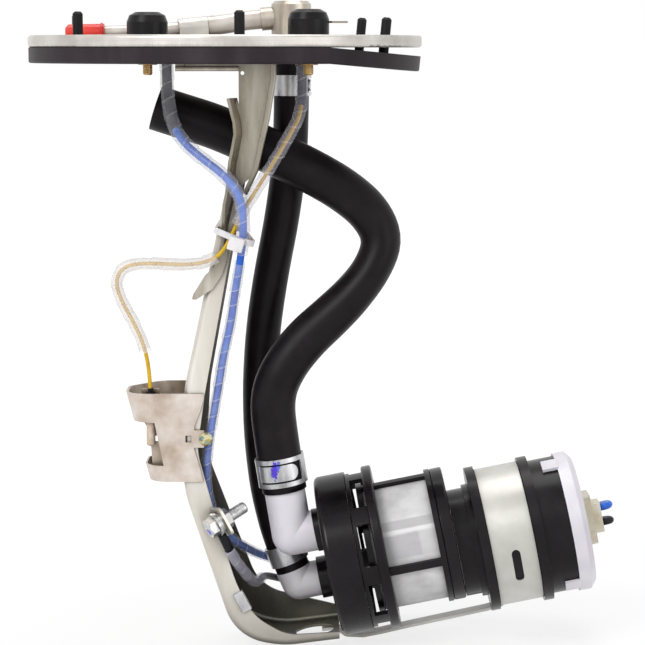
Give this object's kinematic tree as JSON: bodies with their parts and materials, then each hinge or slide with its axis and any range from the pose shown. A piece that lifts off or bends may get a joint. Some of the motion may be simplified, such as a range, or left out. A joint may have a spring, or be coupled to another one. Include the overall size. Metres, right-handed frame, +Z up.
{
  "type": "fuel pump module",
  "caption": "In-tank fuel pump module: round steel flange with gasket, bent sheet hanger, hoses, leads and level sensor, and a canister pump with a mesh filter.",
  "frame": {"origin": "centre of the flange on its sealing face, where it lies on the gasket", "axes": "+Z up out of the tank, the hanger reaches down; the pump's axis lies in the XZ plane and points to +X, rising 11.4 degrees; the front with the leads faces -Y"},
  "size_m": [0.2555, 0.1684, 0.2826],
  "materials": {
    "flange_steel": "pressed steel, bright zinc coat, satin",
    "hanger_steel": "nickel coated sheet, warm satin",
    "guard_steel": "nickel coated sheet, satin",
    "band_steel": "stainless strip, satin",
    "zinc_yellow": "yellow zinc coat",
    "gasket_rubber": "moulded fuel-proof rubber, matt",
    "hose_rubber": "smooth black rubber",
    "boot_rubber": "soft black rubber",
    "seal_rubber": "rubber",
    "black_plastic": "moulded plastic, fine grain",
    "grey_plastic": "moulded plastic",
    "white_plastic": "moulded acetal, half gloss",
    "ivory_plastic": "moulded nylon, half gloss",
    "red_plastic": "soft plastic cap",
    "white_nylon": "nylon",
    "mesh_nylon": "woven mesh, fine",
    "wire_blue": "wire insulation",
    "wire_yellow": "wire insulation",
    "clear_wrap": "clear wrap, hazy",
    "brass": "turned brass",
    "copper": "copper",
    "tower_steel": "turned steel, satin",
    "tube_plastic": "nylon tube",
    "can_steel": "drawn can, satin",
    "shaft_steel": "ground steel",
    "magnet": "ferrite",
    "core_steel": "stacked core",
    "spring_steel": "spring wire",
    "carbon": "carbon",
    "sensor_bead": "moulded bead",
    "die_cast": "cast, machined"
  },
  "bodies": {
    "module": {"mounting_flange": "flange_steel", "flange_gasket": "gasket_rubber", "gasket_pegs": "seal_rubber", "outlet_tower": "tower_steel", "delivery_tube": "tube_plastic", "tube_clip": "flange_steel", "terminal_studs": "brass", "terminal_insulators": "black_plastic", "terminal_nuts": "brass", "cable_lugs": "copper", "hanger_channel": "hanger_steel", "hanger_bracket": "hanger_steel", "pump_band": "band_steel", "hanger_bolt": "zinc_yellow", "bolt_washers": "zinc_yellow", "guard_rivet": "zinc_yellow", "sensor_guard": "guard_steel", "sensor_holder": "guard_steel", "level_sensor": "sensor_bead", "lead_grommet": "black_plastic", "cable_tie": "white_nylon", "wire_clip": "band_steel", "return_hose": "hose_rubber", "delivery_hose": "hose_rubber", "hose_clamps": "band_steel", "return_elbow": "white_plastic", "delivery_elbow": "white_plastic", "filter_cap": "black_plastic", "cap_seals": "seal_rubber", "lock_ring": "black_plastic", "filter_cage": "black_plastic", "filter_mesh": "mesh_nylon", "pump_housing": "black_plastic", "isolator_ring": "seal_rubber", "pump_end_cap": "white_plastic", "pump_connector": "ivory_plastic", "pump_leads": "wire_blue", "lead_wraps": "clear_wrap", "sender_lead": "wire_yellow", "sensor_lead": "wire_yellow", "sensor_lead_wrap": "clear_wrap", "pump_can": "can_steel", "outlet_plate": "grey_plastic", "valve_springs": "spring_steel", "shaft_bushes": "carbon", "field_magnets": "magnet", "brush_holder": "grey_plastic", "brushes": "carbon", "brush_springs": "spring_steel", "discharge_plate": "die_cast", "inlet_plate": "die_cast"},
    "dust_cap": {"dust_cap": "red_plastic"},
    "left_boot": {"left_terminal_boot": "boot_rubber"},
    "right_boot": {"right_terminal_boot": "boot_rubber"},
    "pump_rotor": {"rotor_shaft": "shaft_steel", "armature": "core_steel", "commutator": "copper", "impeller": "black_plastic"},
    "outlet_valve": {"check_valve": "brass"},
    "pressure_ball": {"relief_ball": "shaft_steel"}
  },
  "joints": [
    {"name": "pump_rotor_spin", "type": "hinge", "parent": "module", "child": "pump_rotor", "pos_m": [0.04535, 0, -0.22939], "axis": [0.9803, 0, 0.1977], "continuous": true},
    {"name": "outlet_valve_slide", "type": "slide", "parent": "module", "child": "outlet_valve", "axis": [-0.9803, 0, -0.1977], "range_m": [0, 0.001], "stiffness_N_per_m": 120, "springref_m": -0.0008},
    {"name": "pressure_ball_slide", "type": "slide", "parent": "module", "child": "pressure_ball", "axis": [-0.9803, 0, -0.1977], "range_m": [0, 0.0006], "stiffness_N_per_m": 400, "springref_m": -0.002},
    {"name": "dust_cap_pull", "type": "slide", "parent": "module", "child": "dust_cap", "axis": [-0.9986, -0.0499, -0.02], "range_m": [0, 0.009]},
    {"name": "left_boot_pull", "type": "slide", "parent": "module", "child": "left_boot", "axis": [0, 0, 1], "range_m": [0, 0.02]},
    {"name": "right_boot_pull", "type": "slide", "parent": "module", "child": "right_boot", "axis": [0, 0, 1], "range_m": [0, 0.02]}
  ]
}
